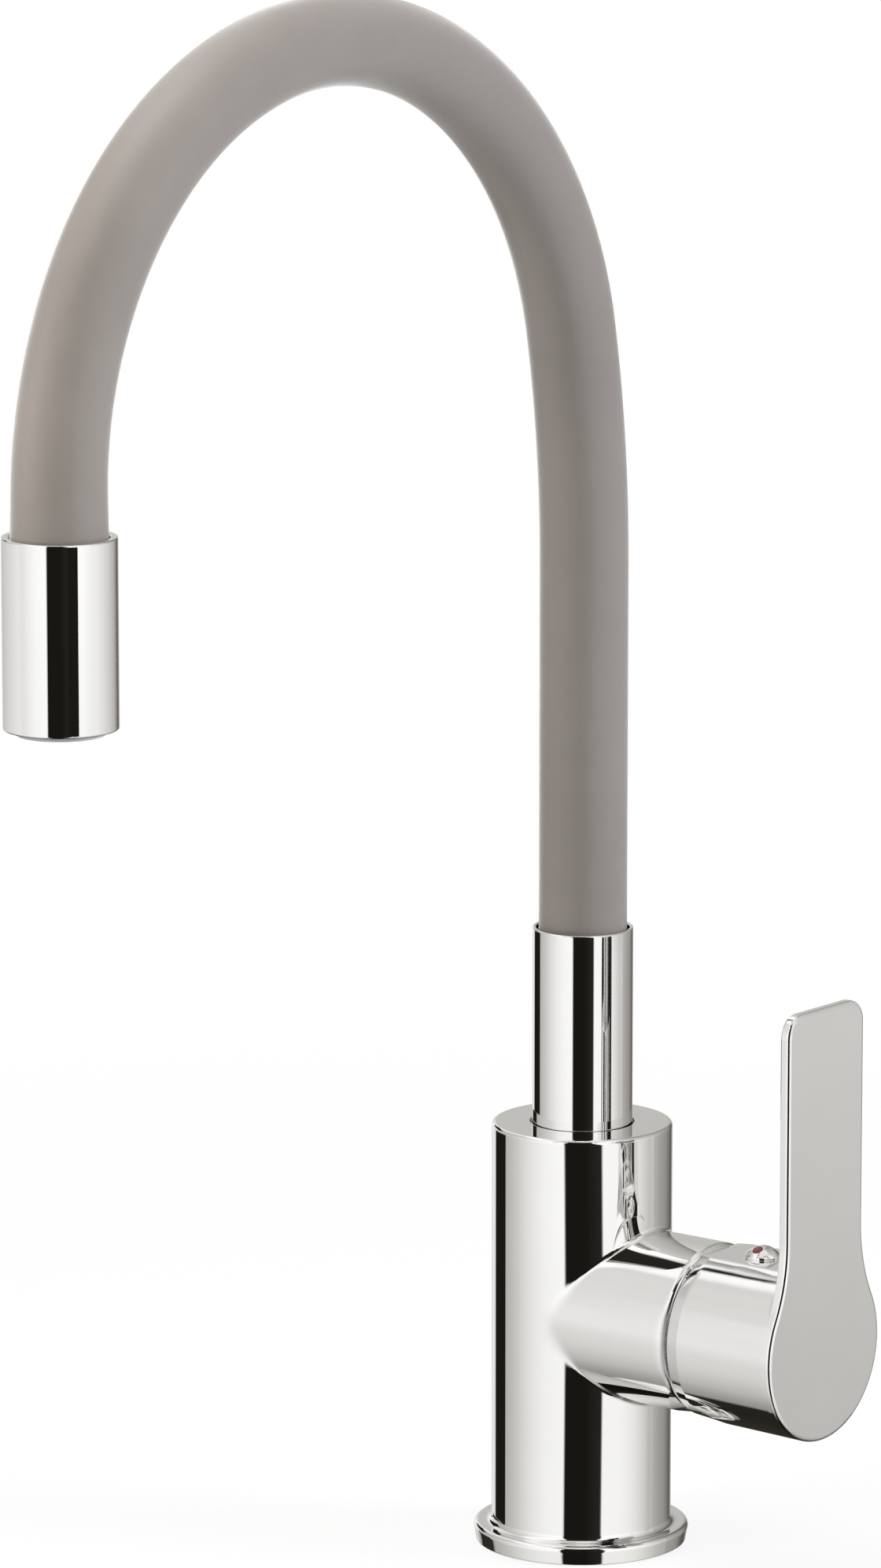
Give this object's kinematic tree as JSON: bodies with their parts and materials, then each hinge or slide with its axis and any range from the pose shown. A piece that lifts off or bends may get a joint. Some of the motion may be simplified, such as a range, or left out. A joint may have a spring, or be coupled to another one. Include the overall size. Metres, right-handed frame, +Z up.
{
  "type": "kitchen faucet",
  "caption": "Single-lever kitchen faucet: chromed round column with a side lever and a swivelling spout, a bendable silicone hose arched over to a chromed outlet head.",
  "frame": {"origin": "centre of the foot, on the deck", "axes": "+Z up along the column, the spout reaches along -Y at rest, the lever's barrel points along +X"},
  "size_m": [0.1019, 0.2363, 0.396],
  "materials": {
    "chrome": "mirror-polished chrome plate on brass",
    "chrome_zinc": "mirror-polished chrome plate on die-cast zinc",
    "silicone": "smooth warm-grey silicone with a soft sheen",
    "brass": "machined brass",
    "steel": "stainless steel",
    "grey_plastic": "moulded grey acetal",
    "white_plastic": "moulded white acetal",
    "rubber": "black nitrile rubber",
    "water_hose": "blue-grey elastomer hose",
    "ceramic": "lapped alumina ceramic",
    "red_enamel": "red enamel",
    "blue_enamel": "blue enamel"
  },
  "bodies": {
    "base": {"mixer_body": "chrome", "base_gasket": "rubber", "guide_bush": "white_plastic", "slip_ring": "white_plastic", "retaining_ring": "steel", "cartridge_base": "grey_plastic", "port_seals": "rubber", "fixed_disc": "ceramic", "cartridge_case": "white_plastic", "clamp_nut": "brass"},
    "spout": {"spout_nipple": "brass", "spout_o_rings": "rubber", "spout_sleeve": "chrome", "lower_hose_collar": "white_plastic", "hose_riser": "silicone", "hose_arch": "silicone", "gooseneck_core": "steel", "water_hose": "water_hose"},
    "outlet_head": {"head_shell": "chrome", "head_fitting": "brass", "upper_hose_collar": "white_plastic", "aerator_seal": "rubber", "aerator_housing": "grey_plastic", "aerator_core": "grey_plastic", "aerator_screens": "steel", "flow_regulator": "white_plastic"},
    "cartridge_rotor": {"rotor": "grey_plastic", "pivot_pin": "steel"},
    "lever": {"handle": "chrome_zinc", "lever_stem": "brass", "set_screw": "steel", "indicator_cap": "chrome", "hot_mark": "red_enamel", "cold_mark": "blue_enamel"},
    "valve_disc": {"moving_disc": "ceramic", "disc_carrier": "grey_plastic"}
  },
  "joints": [
    {"name": "spout_swivel", "type": "hinge", "parent": "base", "child": "spout", "pos_m": [0, 0, 0], "axis": [0, 0, 1], "continuous": true},
    {"name": "hose_flex", "type": "hinge", "parent": "spout", "child": "outlet_head", "pos_m": [0, -0.09997, 0.385], "axis": [-1, 0, 0], "range_deg": [-25, 40], "deforming": ["hose_arch", "gooseneck_core", "water_hose"]},
    {"name": "lever_turn", "type": "hinge", "parent": "base", "child": "cartridge_rotor", "pos_m": [0, 0, 0.0605], "axis": [1, 0, 0], "range_deg": [-45, 45]},
    {"name": "lever_lift", "type": "hinge", "parent": "cartridge_rotor", "child": "lever", "pos_m": [0.034, 0, 0.0605], "axis": [0, 1, 0], "range_deg": [0, 20]},
    {"name": "disc_slide", "type": "slide", "parent": "cartridge_rotor", "child": "valve_disc", "axis": [0, 0, 1], "range_m": [0, 0.0044]}
  ],
  "couplings": [
    {"joint": "disc_slide", "follows": "lever_lift", "m_per_rad": 0.0126}
  ]
}
